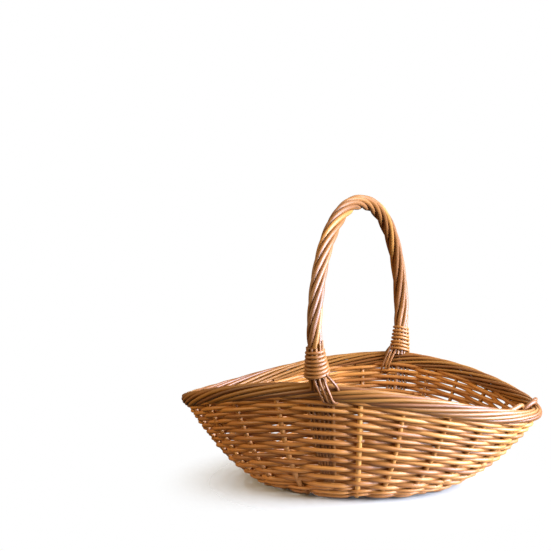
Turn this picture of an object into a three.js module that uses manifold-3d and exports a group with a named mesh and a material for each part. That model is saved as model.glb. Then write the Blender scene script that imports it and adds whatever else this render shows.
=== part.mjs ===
// Woven willow fruit basket: an oval, saddle-rimmed bowl with a fixed roped handle over its short side.
// Millimetres. X runs along the basket, Y across it in the plane of the handle, Z up.
// The base stands on Z = 0.

import * as THREE from 'three';
import { mergeVertices } from 'three/addons/utils/BufferGeometryUtils.js';
import Module from 'manifold-3d';

const wasm = await Module();
wasm.setup();

// Rim, measured to the middle of the rolled border.
const rimHalfLength = 194.5;
const rimHalfWidth = 143.8;
const rimSquareness = 1.79; // 2 is an ellipse, less is more pointed
const rimEndHeight = 80;
const rimMidHeight = 117.6;
const saddlePower = 1.75;

// Base edge, and the bowl shape between it and the rim as the two middle handles of a Bezier.
const baseHalfLength = 99.5;
const baseHalfWidth = 89.7;
const baseMidHeight = 5.5;
const wallOut = [0.39, 0.686];
const wallUp = [0.083, 0.488];

// Woven side, each band ending at a share of the slope from the base edge to the border.
const wallHalf = 4.5;
const upsettEnd = 0.12;
const lowerWeaveEnd = 0.4;
const middleWeaveEnd = 0.68;
const bandGap = 0.005;

// Side stakes stand in grooves on the inside of the woven bands.
const stakeCount = 24;
const stakeRadius = 2.25;
const stakeGrooveHalf = 2.9;
const stakeGrooveDepth = 3;

// Rolled border.
const borderHalfHeight = 8.5;
const borderHalfThick = 6.5;
const borderChamfer = 3;

// Base: a round slath of three sticks threaded through three split ones, opened out to twelve spokes.
const baseThick = 7;
const baseEdgeGap = 2.5;
const slathTurn = Math.PI / 24;
const slathRadius = 17;
const slathFloor = 0.8;
const spokeStep = Math.PI / 6;
const threadedStick = { radius: 2.5, spacing: 6.4 };
const splitStick = { radius: 3.5, spacing: 8.2 };
const stickHeight = 4.6;
const stickReach = 0.95;

// Handle: a bow rod with both feet in the weave, roped with six rods.
const handleOffset = 12.4; // the handle stands this far along +X from the middle
const archHalfWidth = 155.6;
const archSpring = 163;
const archTop = 302.5;
const archSquareness = 2.16;
const bowRadius = 2.9;
const bowFoot = 0.14;
const ropeCount = 6;
const ropeRadius = 2.4;
const ropeHelix = 5.75;
const ropeTurns = 3.75;
const ropeStartLift = 10;

// Foot rods fan out on both sides of the bow's foot.
const footRadius = 1.9;
const footPlaces = [-2, -1, 1, 2];
const footGrooveDepth = 3.6;
const fanSpread = { bottom: 4.6, top: 5.4, bowRoom: 1.2 };

// Lapping round the handle's feet, and the tails that tie the roping off over the border.
const lapRadius = 1.6;
const lapTurns = 6;
const lapHelix = { bottom: 12.6, top: 10.8 };
const lapLift = { bottom: 11.6, top: 38 };
const tailRadius = 1.5;
const tailSpacing = 5;

const clearance = 0.35;

const willow = (color, roughness) => () => new THREE.MeshStandardMaterial({ color, roughness, metalness: 0 });
const weaverWillow = willow(0xc98f52, 0.6);
const stakeWillow = willow(0xdcab6c, 0.55);
const borderWillow = willow(0xc48a4e, 0.58);
const handleWillow = willow(0xcf9a5c, 0.55);
const lappingWillow = willow(0xb9834b, 0.6);
const baseWillow = willow(0xb78049, 0.65);

const basket = new THREE.Group();

function add(name, geometry, material) {
  const mesh = new THREE.Mesh(geometry, material());
  mesh.name = name;
  basket.add(mesh);
}

// The bowl surface through the middle of the weave.

const signedPower = (value, power) => Math.sign(value) * Math.abs(value) ** power;

function ovalPoint(angle, halfLength, halfWidth, squareness) {
  const x = halfLength * signedPower(Math.cos(angle), 2 / squareness);
  const y = halfWidth * signedPower(Math.sin(angle), 2 / squareness);
  return [x, y];
}

function bezier(u, first, second) {
  const v = 1 - u;
  return 3 * v * v * u * first + 3 * v * u * u * second + u ** 3;
}

function slopePoint(angle, u) {
  const [baseX, baseY] = ovalPoint(angle, baseHalfLength, baseHalfWidth, 2);
  const [rimX, rimY] = ovalPoint(angle, rimHalfLength, rimHalfWidth, rimSquareness);
  const saddle = 1 - Math.abs(rimX / rimHalfLength) ** saddlePower;
  const rimZ = rimEndHeight + (rimMidHeight - rimEndHeight) * saddle;
  const out = bezier(u, ...wallOut);
  const up = bezier(u, ...wallUp);
  const z = baseMidHeight + (rimZ - baseMidHeight) * up;
  return new THREE.Vector3(baseX + (rimX - baseX) * out, baseY + (rimY - baseY) * out, z);
}

function slopeTable(angle, steps = 40) {
  const points = Array.from({ length: steps + 1 }, (_, i) => slopePoint(angle, i / steps));
  const lengths = [0];
  for (let i = 1; i <= steps; i += 1) {
    lengths.push(lengths[i - 1] + points[i].distanceTo(points[i - 1]));
  }
  return { points, lengths, total: lengths[steps] };
}

// share runs from 0 at the base edge to 1 at the middle of the border; lift is millimetres further up
// the slope.
function sidePoint(angle, share, lift = 0) {
  const { points, lengths, total } = slopeTable(angle);
  const wanted = share * total + lift;
  const last = points.length - 1;
  let i = lengths.findIndex((length) => length > wanted);
  if (i < 0) {
    i = last;
  }
  i = Math.max(i, 1);
  const part = (wanted - lengths[i - 1]) / (lengths[i] - lengths[i - 1]);
  return points[i - 1].clone().lerp(points[i], part);
}

function sideNormal(angle, share, lift = 0) {
  const turn = 0.004;
  const step = 1.5;
  const around = sidePoint(angle + turn, share, lift).sub(sidePoint(angle - turn, share, lift));
  const up = sidePoint(angle, share, lift + step).sub(sidePoint(angle, share, lift - step));
  return around.cross(up).normalize();
}

function offsetPoint(angle, share, lift, offset) {
  return sidePoint(angle, share, lift).addScaledVector(sideNormal(angle, share, lift), offset);
}

// The plan angle whose side point lies a given distance round the basket from another one's.
function angleBeside(angle, share, distance) {
  const from = sidePoint(angle, share);
  const side = Math.sign(distance);
  let near = 0;
  let far = 0.5;
  for (let i = 0; i < 26; i += 1) {
    const middle = (near + far) / 2;
    const reached = sidePoint(angle + side * middle, share).distanceTo(from);
    if (reached < Math.abs(distance)) {
      near = middle;
    } else {
      far = middle;
    }
  }
  return angle + side * near;
}

// Solids.

class PathCurve extends THREE.Curve {
  constructor(place) {
    super();
    this.place = place;
    this.arcLengthDivisions = 800;
  }

  getPoint(u, target = new THREE.Vector3()) {
    return target.copy(this.place(u));
  }
}

function rod(curve, radius, sides, steps) {
  const section = new THREE.Shape();
  for (let i = 0; i < sides; i += 1) {
    const turn = (2 * Math.PI * i) / sides;
    section[i ? 'lineTo' : 'moveTo'](radius * Math.cos(turn), radius * Math.sin(turn));
  }
  return new THREE.ExtrudeGeometry(section, { steps, extrudePath: curve });
}

function toSolid(geometry) {
  const bare = geometry.clone();
  bare.deleteAttribute('normal');
  bare.deleteAttribute('uv');
  const merged = mergeVertices(bare, 1e-4);
  const vertProperties = new Float32Array(merged.attributes.position.array);
  const triVerts = new Uint32Array(merged.index.array);
  return new wasm.Manifold(new wasm.Mesh({ numProp: 3, vertProperties, triVerts }));
}

function toGeometry(solid) {
  const { vertProperties, triVerts } = solid.getMesh();
  const geometry = new THREE.BufferGeometry();
  geometry.setAttribute('position', new THREE.BufferAttribute(vertProperties, 3));
  geometry.setIndex(new THREE.BufferAttribute(triVerts, 1));
  geometry.computeVertexNormals();
  return geometry;
}

// A closed ring round the bowl. A section point is [share, lift, offset]; in a grooved column the inner
// points move out to the groove's depth.
function ring(columns, section) {
  const positions = [];
  for (const { angleAt, depth } of columns) {
    for (const [share, lift, offset] of section) {
      const angle = angleAt(share);
      const place = offsetPoint(angle, share, lift, Math.max(offset, depth));
      positions.push(place.x, place.y, place.z);
    }
  }
  const index = [];
  const high = section.length;
  for (let c = 0; c < columns.length; c += 1) {
    const next = (c + 1) % columns.length;
    for (let i = 0; i < high; i += 1) {
      const j = (i + 1) % high;
      index.push(c * high + i, next * high + i, next * high + j);
      index.push(c * high + i, next * high + j, c * high + j);
    }
  }
  const geometry = new THREE.BufferGeometry();
  geometry.setAttribute('position', new THREE.Float32BufferAttribute(positions, 3));
  geometry.setIndex(index);
  geometry.computeVertexNormals();
  return geometry;
}

// Where the stakes and the handle's feet stand.

const handleTurn = Math.acos((handleOffset / rimHalfLength) ** (rimSquareness / 2));
const handleAngles = { front: -handleTurn, rear: handleTurn };
const stakeAngles = [];
for (let i = 0; i < stakeCount; i += 1) {
  const angle = -Math.PI + (2 * Math.PI * i) / stakeCount;
  const isHandle = Math.abs(Math.abs(angle) - Math.PI / 2) < 0.01;
  if (!isHandle) {
    stakeAngles.push(angle);
  }
}

const fanPlace = (place, share) => {
  const pitch = fanSpread.bottom + (fanSpread.top - fanSpread.bottom) * share;
  return place * pitch + Math.sign(place) * fanSpread.bowRoom;
};
const footGrooveHalf = (share) => fanPlace(2, share) + footRadius + 0.6;

function grooveColumns(angle, halfAt, depth) {
  const shoulder = 0.3;
  const line = (side, extra, lineDepth) => ({
    depth: lineDepth,
    angleAt: (share) => angleBeside(angle, share, side * (halfAt(share) + extra)),
  });
  return [line(-1, shoulder, -Infinity), line(-1, 0, depth), line(1, 0, depth), line(1, shoulder, -Infinity)];
}

function ringColumns(withStakeGrooves) {
  const groups = [];
  for (const angle of stakeAngles) {
    const plain = [{ depth: -Infinity, angleAt: () => angle }];
    const grooved = grooveColumns(angle, () => stakeGrooveHalf, stakeGrooveDepth);
    groups.push({ angle, columns: withStakeGrooves ? grooved : plain });
  }
  for (const angle of Object.values(handleAngles)) {
    groups.push({ angle, columns: grooveColumns(angle, footGrooveHalf, footGrooveDepth) });
  }
  groups.sort((a, b) => a.angle - b.angle);
  return groups.flatMap((group, i) => {
    const after = i + 1 < groups.length ? groups[i + 1].angle : groups[0].angle + 2 * Math.PI;
    const between = (group.angle + after) / 2;
    return [...group.columns, { depth: -Infinity, angleAt: () => between }];
  });
}

// Base.

function stickCurve(group, number) {
  const across = number * group.spacing;
  const quarter = group === splitStick ? Math.PI / 2 : 0;
  const turnedPoint = (along, side) => {
    const place = new THREE.Vector3(along, side, 0);
    place.applyAxisAngle(new THREE.Vector3(0, 0, 1), slathTurn + quarter);
    return place.setZ(stickHeight);
  };
  const spokeEnd = (angle) => {
    const x = baseHalfLength * stickReach * Math.cos(angle);
    const y = baseHalfWidth * stickReach * Math.sin(angle);
    return new THREE.Vector3(x, y, stickHeight);
  };
  const forward = slathTurn + quarter + number * spokeStep;
  const backward = slathTurn + quarter + Math.PI - number * spokeStep;
  const points = [
    spokeEnd(backward),
    turnedPoint(-slathRadius * 1.4, across * 1.25),
    turnedPoint(-slathRadius * 0.7, across),
    turnedPoint(slathRadius * 0.7, across),
    turnedPoint(slathRadius * 1.4, across * 1.25),
    spokeEnd(forward),
  ];
  return new THREE.CatmullRomCurve3(points);
}

function addBase() {
  const stickNumbers = [-1, 0, 1];
  const sticks = [];
  for (const group of [threadedStick, splitStick]) {
    for (const number of stickNumbers) {
      const curve = stickCurve(group, number);
      const solid = toSolid(rod(curve, group.radius, 6, 9));
      const room = toSolid(rod(curve, group.radius + clearance, 6, 9));
      sticks.push({ group, solid, room });
    }
  }
  const threaded = sticks.filter((stick) => stick.group === threadedStick);
  sticks.forEach((stick, i) => {
    let { solid } = stick;
    if (stick.group === splitStick) {
      for (const other of threaded) {
        solid = solid.subtract(other.room);
      }
    }
    add(`base_stick_${i + 1}`, toGeometry(solid), baseWillow);
  });

  const outline = new THREE.Shape();
  outline.absellipse(0, 0, baseHalfLength - baseEdgeGap, baseHalfWidth - baseEdgeGap, 0, 2 * Math.PI);
  const thickness = { depth: baseThick, bevelEnabled: false, curveSegments: 24 };
  const plate = new THREE.ExtrudeGeometry(outline, thickness);
  const pocket = new THREE.CylinderGeometry(slathRadius, slathRadius, baseThick * 2, 20);
  pocket.rotateX(Math.PI / 2);
  pocket.translate(0, 0, slathFloor + baseThick);
  let weave = toSolid(plate).subtract(toSolid(pocket));
  for (const stick of sticks) {
    weave = weave.subtract(stick.room);
  }
  add('base_weave', toGeometry(weave), baseWillow);
}

// Side.

function addSide() {
  const columns = ringColumns(true);
  const band = (rises) => {
    const outer = rises.map(([share, lift]) => [share, lift, wallHalf]);
    const inner = rises.map(([share, lift]) => [share, lift, -wallHalf]).reverse();
    return ring(columns, [...outer, ...inner]);
  };
  const inThree = (from, to) => [from + bandGap, (from + to) / 2, to].map((share) => [share, 0]);
  add('upsett_wale', band([[0, 0], [upsettEnd, 0]]), weaverWillow);
  add('side_weave_lower', band(inThree(upsettEnd, lowerWeaveEnd)), weaverWillow);
  add('side_weave_middle', band(inThree(lowerWeaveEnd, middleWeaveEnd)), weaverWillow);
  const top = [1, -(borderHalfHeight + 0.5)];
  add('side_weave_upper', band([[middleWeaveEnd + bandGap, 0], top]), weaverWillow);
  stakeAngles.forEach((angle, i) => {
    const lift = -(borderHalfHeight + 0.6);
    const curve = new PathCurve((u) => sidePoint(angle, u, lift * u));
    add(`side_stake_${String(i + 1).padStart(2, '0')}`, rod(curve, stakeRadius, 5, 9), stakeWillow);
  });
}

function addBorder() {
  const flatHalf = borderHalfHeight - borderChamfer;
  const topHalf = borderHalfThick - borderChamfer;
  const section = [
    [1, -flatHalf, borderHalfThick],
    [1, flatHalf, borderHalfThick],
    [1, borderHalfHeight, topHalf + 0.3],
    [1, borderHalfHeight, -topHalf],
    [1, flatHalf, -borderHalfThick],
    [1, -flatHalf, -borderHalfThick],
    [1, -borderHalfHeight, -topHalf],
    [1, -borderHalfHeight, topHalf + 0.3],
  ];
  add('rolled_border', ring(ringColumns(false), section), borderWillow);
}

// Handle.

function bowCurve() {
  const points = [];
  for (let share = bowFoot; share < 1.001; share += (1 - bowFoot) / 6) {
    points.push(sidePoint(handleAngles.front, share));
  }
  const archSteps = 14;
  for (let i = 0; i <= archSteps; i += 1) {
    const turn = (Math.PI * i) / archSteps;
    const y = -archHalfWidth * signedPower(Math.cos(turn), 2 / archSquareness);
    const z = archSpring + (archTop - archSpring) * Math.sin(turn) ** (2 / archSquareness);
    points.push(new THREE.Vector3(handleOffset, y, z));
  }
  for (let share = 1; share > bowFoot - 0.001; share -= (1 - bowFoot) / 6) {
    points.push(sidePoint(handleAngles.rear, share));
  }
  const curve = new THREE.CatmullRomCurve3(points);
  curve.arcLengthDivisions = 1200;
  return curve;
}

function nearestOn(curve, point) {
  let best = 0;
  let least = Infinity;
  for (let i = 0; i <= 2000; i += 1) {
    const distance = curve.getPointAt(i / 2000).distanceTo(point);
    if (distance < least) {
      least = distance;
      best = i / 2000;
    }
  }
  return best;
}

// A helix round the bow, between two places on it.
function windingCurve(bow, from, to, turns, phase, radiusAt) {
  return new PathCurve((u) => {
    const at = from + (to - from) * u;
    const along = bow.getTangentAt(at);
    const side = new THREE.Vector3(1, 0, 0);
    side.addScaledVector(along, -side.dot(along)).normalize();
    const other = along.clone().cross(side);
    const turn = phase + 2 * Math.PI * turns * u;
    const place = bow.getPointAt(at);
    place.addScaledVector(side, radiusAt(u) * Math.cos(turn));
    return place.addScaledVector(other, radiusAt(u) * Math.sin(turn));
  });
}

function addHandle() {
  const bow = bowCurve();
  add('handle_bow', rod(bow, bowRadius, 5, 44), handleWillow);
  const ropeFrom = nearestOn(bow, sidePoint(handleAngles.front, 1, ropeStartLift));
  const ropeTo = nearestOn(bow, sidePoint(handleAngles.rear, 1, ropeStartLift));
  for (let i = 0; i < ropeCount; i += 1) {
    const phase = (2 * Math.PI * i) / ropeCount;
    const curve = windingCurve(bow, ropeFrom, ropeTo, ropeTurns, phase, () => ropeHelix);
    add(`handle_rope_${i + 1}`, rod(curve, ropeRadius, 5, 46), handleWillow);
  }
  for (const [side, angle] of Object.entries(handleAngles)) {
    const lapFrom = nearestOn(bow, sidePoint(angle, 1, lapLift.bottom));
    const lapTo = nearestOn(bow, sidePoint(angle, 1, lapLift.top));
    const lapAt = (u) => lapHelix.bottom + (lapHelix.top - lapHelix.bottom) * u;
    const lapping = windingCurve(bow, lapFrom, lapTo, lapTurns, 0, lapAt);
    add(`lapping_${side}`, rod(lapping, lapRadius, 4, lapTurns * 10), lappingWillow);
    footPlaces.forEach((place, i) => {
      const foot = new PathCurve((u) => {
        const share = bowFoot + (1 - bowFoot) * u;
        return sidePoint(angleBeside(angle, share, fanPlace(place, share)), share, borderHalfHeight * u);
      });
      add(`handle_foot_${side}_${i + 1}`, rod(foot, footRadius, 5, 9), handleWillow);
    });
  }
}

// The front tails cross the outside of the border towards +X, the rear ones its inside towards -X.
function addTails() {
  const onBorder = borderHalfThick + clearance + tailRadius;
  const onWeave = wallHalf + clearance + tailRadius;
  const route = [
    [-3, 7.2, onBorder],
    [5, 0, onBorder + 0.3],
    [12, -8, onBorder],
    [15, -14, onWeave + 0.6],
    [17, -18, onWeave],
  ];
  for (const [side, face] of [['front', 1], ['rear', -1]]) {
    for (let i = 0; i < 3; i += 1) {
      const points = route.map(([around, lift, offset]) => {
        const angle = angleBeside(handleAngles[side], 1, around + tailSpacing * (i - 0.5));
        return offsetPoint(angle, 1, lift, face * offset);
      });
      const tail = new THREE.CatmullRomCurve3(points);
      add(`handle_tail_${side}_${i + 1}`, rod(tail, tailRadius, 5, 7), handleWillow);
    }
  }
}

addBase();
addSide();
addBorder();
addHandle();
addTails();

export default basket;
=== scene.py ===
import math

import bpy
import numpy as np
from mathutils import Matrix, Vector


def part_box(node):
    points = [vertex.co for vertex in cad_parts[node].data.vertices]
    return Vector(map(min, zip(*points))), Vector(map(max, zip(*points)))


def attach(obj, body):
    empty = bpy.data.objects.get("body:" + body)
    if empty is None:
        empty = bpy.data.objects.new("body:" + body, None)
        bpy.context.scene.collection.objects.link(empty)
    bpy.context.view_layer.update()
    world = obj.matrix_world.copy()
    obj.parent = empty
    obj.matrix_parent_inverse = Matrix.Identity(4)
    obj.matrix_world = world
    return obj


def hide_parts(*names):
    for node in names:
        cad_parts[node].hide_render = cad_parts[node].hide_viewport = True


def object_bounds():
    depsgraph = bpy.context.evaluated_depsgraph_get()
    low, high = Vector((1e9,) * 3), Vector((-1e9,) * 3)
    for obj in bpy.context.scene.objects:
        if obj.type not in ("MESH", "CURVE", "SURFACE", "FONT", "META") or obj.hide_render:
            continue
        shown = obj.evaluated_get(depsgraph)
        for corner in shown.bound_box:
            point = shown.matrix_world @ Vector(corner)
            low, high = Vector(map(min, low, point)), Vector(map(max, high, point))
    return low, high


# Woven willow fruit basket. Metres: X along the basket, Y across it in the plane of the handle, Z up.

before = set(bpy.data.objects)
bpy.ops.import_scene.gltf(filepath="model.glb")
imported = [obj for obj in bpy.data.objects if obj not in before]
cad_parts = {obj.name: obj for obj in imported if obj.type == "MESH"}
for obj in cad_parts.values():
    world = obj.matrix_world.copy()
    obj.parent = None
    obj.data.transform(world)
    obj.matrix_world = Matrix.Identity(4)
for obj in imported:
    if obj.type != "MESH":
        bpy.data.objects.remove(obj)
cadLow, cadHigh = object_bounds()
floorHeight = cadLow.z

# Camera, light and floor

camera = {
    "place": (0.3198, -0.9819, 0.2531),
    "azimuth": 20.383,
    "elevation": 4.185,
    "roll": -0.371,
    "lens": 61.87,
    "sensor": 36,
    "shift": (-0.0714, 0.0767),
}

def makeCamera():
    azimuth = math.radians(camera["azimuth"])
    elevation = math.radians(camera["elevation"])
    roll = math.radians(camera["roll"])
    back = Vector((math.sin(azimuth), -math.cos(azimuth), 0)) * math.cos(elevation)
    back.z = math.sin(elevation)
    right = Vector((math.cos(azimuth), math.sin(azimuth), 0))
    up = back.cross(right)
    across = right * math.cos(roll) + up * math.sin(roll)
    upright = up * math.cos(roll) - right * math.sin(roll)
    data = bpy.data.cameras.new("basketCamera")
    data.lens = camera["lens"]
    data.sensor_width = camera["sensor"]
    data.shift_x, data.shift_y = camera["shift"]
    basketCamera = bpy.data.objects.new("basketCamera", data)
    turn = Matrix((across, upright, back)).transposed().to_4x4()
    basketCamera.matrix_world = Matrix.Translation(camera["place"]) @ turn
    bpy.context.scene.collection.objects.link(basketCamera)
    bpy.context.scene.camera = basketCamera

makeCamera()

studio = {
    "floorRadius": 2.6,
    "floorSides": 128,
    "floorColour": (0.44, 0.41, 0.36),
    "floorRoughness": 0.9,
    "floorGloss": 0.1,
    "fadeStart": 0.09,  # the floor fades out into the white surround between these
    "fadeEnd": 0.22,
    "skyColour": (1.0, 0.77, 0.36),
    "skyStrength": 0.41,
    "skyBelow": 0.1,  # how much of the sky's light comes from under the horizon
    "duskLow": -0.35,  # the sky gets darker between these, 0 being the horizon
    "duskHigh": 0.15,
    "surround": 1.0,
}

lamps = {
    "keyLamp": {"place": (1.52, -0.08, 0.66), "size": 1.9, "power": 190, "colour": (0.93, 1.05, 1.30)},
    "sideLamp": {"place": (1.70, 0.0, 0.40), "size": 1.2, "power": 58, "colour": (0.74, 1.14, 1.95)},
    "backLamp": {"place": (-0.5, 2.0, 1.1), "size": 1.4, "power": 10, "colour": (1.0, 0.86, 0.62)},
    "frontLamp": {"place": (-1.7, -1.25, 0.95), "size": 1.4, "power": 42, "colour": (1.0, 0.79, 0.46)},
    "topLamp": {"place": (0.9, 0.5, 1.5), "size": 1.4, "power": 4, "colour": (0.92, 1.0, 1.25)},
}
lampTarget = Vector((0, 0, 0.1))

def makeFloorPaper():
    # The pale floor's material, seen through more and more with the distance from the basket.
    paper = bpy.data.materials.new("studioPaper")
    paper.use_nodes = True
    tree = paper.node_tree
    shader = tree.nodes["Principled BSDF"]
    shader.inputs["Base Color"].default_value = (*studio["floorColour"], 1)
    shader.inputs["Roughness"].default_value = studio["floorRoughness"]
    shader.inputs["Specular IOR Level"].default_value = studio["floorGloss"]
    place = tree.nodes.new("ShaderNodeTexCoord")
    length = tree.nodes.new("ShaderNodeVectorMath")
    length.operation = "LENGTH"
    tree.links.new(place.outputs["Object"], length.inputs[0])
    fade = tree.nodes.new("ShaderNodeMapRange")
    fade.interpolation_type = "SMOOTHSTEP"
    fade.inputs["From Min"].default_value = studio["fadeEnd"]
    fade.inputs["From Max"].default_value = studio["fadeStart"]
    tree.links.new(length.outputs["Value"], fade.inputs["Value"])
    tree.links.new(fade.outputs["Result"], shader.inputs["Alpha"])
    return paper

def makeFloor():
    sides = studio["floorSides"]
    radius = studio["floorRadius"]
    turns = [2 * math.pi * i / sides for i in range(sides)]
    points = [(radius * math.cos(turn), radius * math.sin(turn), floorHeight) for turn in turns]
    mesh = bpy.data.meshes.new("floor")
    mesh.from_pydata(points, [], [list(range(sides))])
    floor = bpy.data.objects.new("floor", mesh)
    bpy.context.scene.collection.objects.link(floor)
    mesh.materials.append(makeFloorPaper())

def makeSky():
    # A warm sky lights the basket, and plain white is seen behind it.
    world = bpy.data.worlds.new("studioSky")
    world.use_nodes = True
    tree = world.node_tree
    sky = tree.nodes["Background"]
    sky.inputs["Color"].default_value = (*studio["skyColour"], 1)
    place = tree.nodes.new("ShaderNodeTexCoord")
    split = tree.nodes.new("ShaderNodeSeparateXYZ")
    tree.links.new(place.outputs["Generated"], split.inputs[0])
    dusk = tree.nodes.new("ShaderNodeMapRange")
    dusk.inputs["From Min"].default_value = studio["duskLow"]
    dusk.inputs["From Max"].default_value = studio["duskHigh"]
    dusk.inputs["To Min"].default_value = studio["skyStrength"] * studio["skyBelow"]
    dusk.inputs["To Max"].default_value = studio["skyStrength"]
    tree.links.new(split.outputs["Z"], dusk.inputs["Value"])
    tree.links.new(dusk.outputs["Result"], sky.inputs["Strength"])
    surround = tree.nodes.new("ShaderNodeBackground")
    surround.inputs["Color"].default_value = (1, 1, 1, 1)
    surround.inputs["Strength"].default_value = studio["surround"]
    seen = tree.nodes.new("ShaderNodeLightPath")
    mix = tree.nodes.new("ShaderNodeMixShader")
    tree.links.new(seen.outputs["Is Camera Ray"], mix.inputs[0])
    tree.links.new(sky.outputs[0], mix.inputs[1])
    tree.links.new(surround.outputs[0], mix.inputs[2])
    tree.links.new(mix.outputs[0], tree.nodes["World Output"].inputs["Surface"])
    bpy.context.scene.world = world

def makeLamps():
    for name, lamp in lamps.items():
        data = bpy.data.lights.new(name, "AREA")
        data.shape = "DISK"
        data.size = lamp["size"]
        data.energy = lamp["power"]
        data.color = lamp["colour"]
        light = bpy.data.objects.new(name, data)
        light.location = lamp["place"]
        aim = Vector(lamp["place"]) - lampTarget
        light.rotation_euler = aim.to_track_quat("Z", "Y").to_euler()
        bpy.context.scene.collection.objects.link(light)

def makeStudio():
    makeFloor()
    makeSky()
    makeLamps()
    bpy.context.scene.view_settings.view_transform = "Standard"

makeStudio()
print("camera, floor and lamps made")

# The bowl surface through the middle of the weave, as the CAD part has it

rimBox = [Vector(corner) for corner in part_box("rolled_border")]
baseBox = [Vector(corner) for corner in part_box("base_weave")]
bowBox = [Vector(corner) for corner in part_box("handle_bow")]

borderOut = (0.0085, 0.00775)  # how far the border stands out past its middle, at an end and at a side
baseGap = 0.0025  # from the edge of the base weave to where the stakes turn up

bowl = {
    "rimHalfLength": rimBox[1].x - borderOut[0],
    "rimHalfWidth": rimBox[1].y - borderOut[1],
    "rimSquareness": 1.79,  # 2 is an ellipse, less is more pointed
    "rimEndHeight": 0.080,
    "rimMidHeight": 0.1176,
    "saddlePower": 1.75,
    "baseHalfLength": baseBox[1].x + baseGap,
    "baseHalfWidth": baseBox[1].y + baseGap,
    "baseMidHeight": 0.0055,
    "wallOut": (0.39, 0.686),
    "wallUp": (0.083, 0.488),
    "stakes": 24,
    # Stakes stand this many degrees round from an even spacing, around these places.
    "stakeShifts": ((0.25, 4.7), (0.75, -4.7), (0.4375, -2.8), (0.5625, 2.8)),
    "shiftReach": 2.3,  # in stake spacings
    "bundleShare": 0.36,  # the weave stays straight this far over the foot rods, in stake spacings
}

# The surface is mapped with u once round the side and the share of the slope moved and scaled to 0..1
shareStart = 0.2
shareSpan = 1.5

def signedPower(value, power):
    return np.sign(value) * np.abs(value) ** power

def planAngle(u):
    angle = -math.pi + 2 * math.pi * u
    for middle, shift in bowl["stakeShifts"]:
        near = np.clip(1 - np.abs(u - middle) * bowl["stakes"] / bowl["shiftReach"], 0, 1)
        angle = angle + math.radians(shift) * near * near * (3 - 2 * near)
    return angle

def stakePlace(u):
    # Counts the stakes passed, and stands still across the handle's foot rods.
    place = u * bowl["stakes"]
    for middle in (0.25, 0.75):
        away = (u - middle) * bowl["stakes"]
        flat = bowl["bundleShare"]
        held = np.clip((np.abs(away) - flat) / (1 - flat), 0, 1) * np.sign(away)
        place = np.where(np.abs(away) < 1, middle * bowl["stakes"] + held, place)
    return place

def ovalPoint(angle, halfLength, halfWidth, squareness):
    x = halfLength * signedPower(np.cos(angle), 2 / squareness)
    y = halfWidth * signedPower(np.sin(angle), 2 / squareness)
    return x, y

def bezier(t, first, second):
    s = 1 - t
    return 3 * s * s * t * first + 3 * s * t * t * second + t ** 3

def slopeLine(u, steps=60):
    # The slope at one place round the side, from the base edge to the middle of the border.
    t = np.linspace(0, 1, steps + 1)
    angle = planAngle(np.float64(u))
    baseX, baseY = ovalPoint(angle, bowl["baseHalfLength"], bowl["baseHalfWidth"], 2)
    rimX, rimY = ovalPoint(angle, bowl["rimHalfLength"], bowl["rimHalfWidth"], bowl["rimSquareness"])
    saddle = 1 - abs(rimX / bowl["rimHalfLength"]) ** bowl["saddlePower"]
    rimZ = bowl["rimEndHeight"] + (bowl["rimMidHeight"] - bowl["rimEndHeight"]) * saddle
    out = bezier(t, *bowl["wallOut"])
    up = bezier(t, *bowl["wallUp"])
    z = bowl["baseMidHeight"] + (rimZ - bowl["baseMidHeight"]) * up
    line = np.stack([baseX + (rimX - baseX) * out, baseY + (rimY - baseY) * out, z], 1)
    lengths = np.concatenate([[0], np.cumsum(np.linalg.norm(np.diff(line, axis=0), axis=1))])
    return line, lengths

def wallRow(u, shares):
    # Points on the slope at the given shares of its length, straight on past both ends.
    line, lengths = slopeLine(u)
    wanted = np.asarray(shares) * lengths[-1]
    points = np.stack([np.interp(wanted, lengths, line[:, i]) for i in range(3)], 1)
    top = (line[-1] - line[-2]) / (lengths[-1] - lengths[-2])
    foot = (line[1] - line[0]) / (lengths[1] - lengths[0])
    points += np.clip(wanted - lengths[-1], 0, None)[:, None] * top
    points += np.clip(wanted, None, 0)[:, None] * foot
    return points

def wallPoint(u, share, out=0.0, lift=0.0):
    # One point on the slope, moved outwards and uphill.
    step = 0.002
    rise = 0.01
    u = u % 1
    middle, above = wallRow(u, [share, share + rise])
    before = wallRow((u - step) % 1, [share])[0]
    after = wallRow((u + step) % 1, [share])[0]
    up = (above - middle) / np.linalg.norm(above - middle)
    normal = np.cross(after - before, up)
    normal /= np.linalg.norm(normal)
    return Vector(middle + normal * out + up * lift)

def surfaceObject(name, rows, places):
    # A hidden guide: points, their outward and uphill directions, and the stakes passed.
    rings, count = rows.shape[0], rows.shape[1]
    up = np.gradient(rows, axis=1)
    up /= np.linalg.norm(up, axis=2)[..., None]
    wrapped = np.concatenate([rows[-2:-1], rows, rows[1:2]])
    forward = wrapped[2:] - wrapped[:-2]
    out = np.cross(forward, up)
    out /= np.linalg.norm(out, axis=2)[..., None]
    faces = []
    for i in range(rings - 1):
        for j in range(count - 1):
            a = i * count + j
            faces.append((a, a + count, a + count + 1, a + 1))
    mesh = bpy.data.meshes.new(name)
    mesh.from_pydata(rows.reshape(-1, 3).tolist(), [], faces)
    for label, values in (("wallOut", out), ("wallUp", up)):
        layer = mesh.attributes.new(label, "FLOAT_VECTOR", "POINT")
        layer.data.foreach_set("vector", values.reshape(-1).astype(np.float32))
    layer = mesh.attributes.new("stakePlace", "FLOAT", "POINT")
    layer.data.foreach_set("value", np.repeat(places, count).astype(np.float32))
    uv = mesh.uv_layers.new(name="UVMap")
    corners = np.empty(len(mesh.loops), np.int32)
    mesh.loops.foreach_get("vertex_index", corners)
    place = np.stack([corners // count / (rings - 1), corners % count / (count - 1)], 1)
    uv.data.foreach_set("uv", place.reshape(-1).astype(np.float32))
    return bpy.data.objects.new(name, mesh)

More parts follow.
